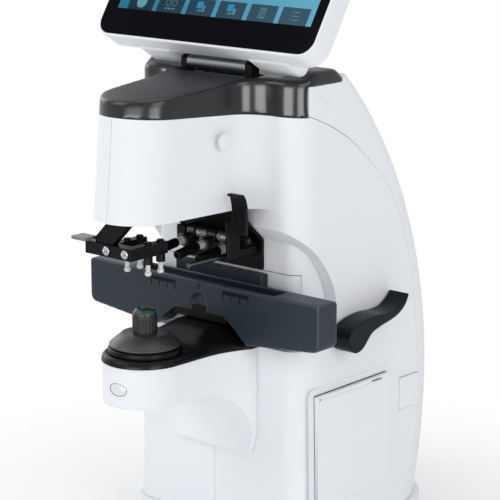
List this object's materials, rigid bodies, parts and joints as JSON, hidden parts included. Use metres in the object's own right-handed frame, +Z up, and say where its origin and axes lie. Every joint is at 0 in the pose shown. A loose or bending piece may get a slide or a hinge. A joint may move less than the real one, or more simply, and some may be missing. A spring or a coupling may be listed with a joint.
{
  "type": "auto lensmeter",
  "caption": "Desktop instrument that measures spectacle lenses, with a sliding lens table, marking pens, tilting screen and side printer.",
  "frame": {"origin": "centre of the base's footprint between the sides, on the desk", "axes": "+Z up, the machine faces -Y, +X is to the right of someone in front of it"},
  "size_m": [0.196, 0.245, 0.4368],
  "materials": {
    "white_plastic": "satin",
    "cap_plastic": "satin",
    "black_plastic": "fine grained",
    "dark_plastic": "fine grained",
    "table_plastic": "matte",
    "tab_plastic": "matte",
    "green_plastic": "glossy",
    "black_metal": "satin",
    "steel": "brushed",
    "bronze": "plain",
    "rubber": "matte",
    "glass": "glossy",
    "screen": "lit",
    "board": "matte",
    "paper": "matte"
  },
  "bodies": {
    "frame": {"base_feet": "rubber", "base_plate": "white_plastic", "chassis": "steel", "connector_block": "black_plastic", "head_underplate": "black_plastic", "hinge_bracket": "steel", "hinge_pin": "steel", "left_port_cover": "white_plastic", "left_shell": "white_plastic", "light_source": "black_plastic", "main_board": "board", "mark_frame": "black_metal", "mark_rails": "steel", "nosepiece_base": "black_plastic", "nosepiece_stem": "black_plastic", "nosepiece_tip": "green_plastic", "power_inlet": "black_plastic", "power_unit": "steel", "print_head": "dark_plastic", "printer_bucket": "black_plastic", "printer_frame": "white_plastic", "rear_shell": "white_plastic", "right_shell": "white_plastic", "rod_bushes": "bronze", "sensor_module": "black_plastic", "sensor_window": "glass", "stand_cover": "black_plastic", "stand_housing": "white_plastic", "throat_neck": "white_plastic", "top_cover": "cap_plastic"},
    "table": {"lens_table": "table_plastic", "table_carriage": "dark_plastic", "table_shroud": "white_plastic", "slide_rods": "steel", "table_rack": "dark_plastic"},
    "lever": {"table_lever": "dark_plastic", "lever_shaft": "steel", "lever_gear": "dark_plastic"},
    "holder": {"holder_arm": "black_plastic", "holder_fork": "black_plastic", "holder_tab": "tab_plastic"},
    "pin_1": {"holder_pin_1": "steel"},
    "pin_2": {"holder_pin_2": "steel"},
    "pin_3": {"holder_pin_3": "steel"},
    "pin_4": {"holder_pin_4": "steel"},
    "marking": {"marking_carriage": "black_plastic", "marking_lever": "black_plastic"},
    "pens": {"pen_holders": "dark_plastic", "pen_barrels": "white_plastic", "pen_caps": "black_plastic"},
    "display": {"display_housing": "white_plastic", "display_glass": "glass", "lcd_panel": "screen", "hinge_barrel": "steel"},
    "door": {"printer_door": "white_plastic"},
    "platen": {"platen_roller": "rubber"},
    "roll": {"paper_roll": "paper"},
    "flap": {"connector_flap": "white_plastic"},
    "button": {"read_button": "dark_plastic"},
    "rocker": {"switch_rocker": "black_plastic"}
  },
  "joints": [
    {"name": "lever_turn", "type": "hinge", "parent": "frame", "child": "lever", "pos_m": [0, -0.011, 0.1485], "axis": [1, 0, 0], "range_deg": [0, 91.7]},
    {"name": "table_slide", "type": "slide", "parent": "frame", "child": "table", "axis": [0, -1, 0], "range_m": [0, 0.032]},
    {"name": "holder_slide", "type": "slide", "parent": "frame", "child": "holder", "axis": [0, 0, -1], "range_m": [0, 0.02]},
    {"name": "marking_slide", "type": "slide", "parent": "frame", "child": "marking", "axis": [0, -1, 0], "range_m": [0, 0.044]},
    {"name": "pens_tilt", "type": "hinge", "parent": "marking", "child": "pens", "pos_m": [0, -0.045, 0.2095], "axis": [1, 0, 0], "range_deg": [0, 45]},
    {"name": "display_tilt", "type": "hinge", "parent": "frame", "child": "display", "pos_m": [0, -0.0397, 0.3182], "axis": [1, 0, 0], "range_deg": [-15, 20]},
    {"name": "door_turn", "type": "hinge", "parent": "frame", "child": "door", "pos_m": [0.07663, 0.003, 0.04221], "axis": [0, 1, 0], "range_deg": [0, 80]},
    {"name": "roll_spin", "type": "hinge", "parent": "frame", "child": "roll", "pos_m": [0.04559, 0.003, 0.06797], "axis": [0, 1, 0], "continuous": true},
    {"name": "platen_spin", "type": "hinge", "parent": "frame", "child": "platen", "pos_m": [0.06683, 0.003, 0.10442], "axis": [0, 1, 0], "continuous": true},
    {"name": "flap_turn", "type": "hinge", "parent": "frame", "child": "flap", "pos_m": [0.07363, 0.0564, 0.095], "axis": [0, 0, 1], "range_deg": [-95, 0]},
    {"name": "button_press", "type": "slide", "parent": "frame", "child": "button", "axis": [0, 1, 0], "range_m": [0, 0.0015], "stiffness_N_per_m": 300, "springref_m": -0.001},
    {"name": "rocker_turn", "type": "hinge", "parent": "frame", "child": "rocker", "pos_m": [0.014, 0.09498, 0.052], "axis": [1, 0, 0], "range_deg": [-8, 8]},
    {"name": "pin_1_press", "type": "slide", "parent": "holder", "child": "pin_1", "axis": [0, 0, 1], "range_m": [0, 0.003], "stiffness_N_per_m": 100, "springref_m": -0.002},
    {"name": "pin_2_press", "type": "slide", "parent": "holder", "child": "pin_2", "axis": [0, 0, 1], "range_m": [0, 0.003], "stiffness_N_per_m": 100, "springref_m": -0.002},
    {"name": "pin_3_press", "type": "slide", "parent": "holder", "child": "pin_3", "axis": [0, 0, 1], "range_m": [0, 0.003], "stiffness_N_per_m": 100, "springref_m": -0.002},
    {"name": "pin_4_press", "type": "slide", "parent": "holder", "child": "pin_4", "axis": [0, 0, 1], "range_m": [0, 0.003], "stiffness_N_per_m": 100, "springref_m": -0.002}
  ],
  "couplings": [
    {"joint": "lever_turn", "follows": "table_slide", "rad_per_m": 50},
    {"joint": "pens_tilt", "follows": "marking_slide", "rad_per_m": 17.8},
    {"joint": "platen_spin", "follows": "roll_spin", "ratio": 5}
  ]
}
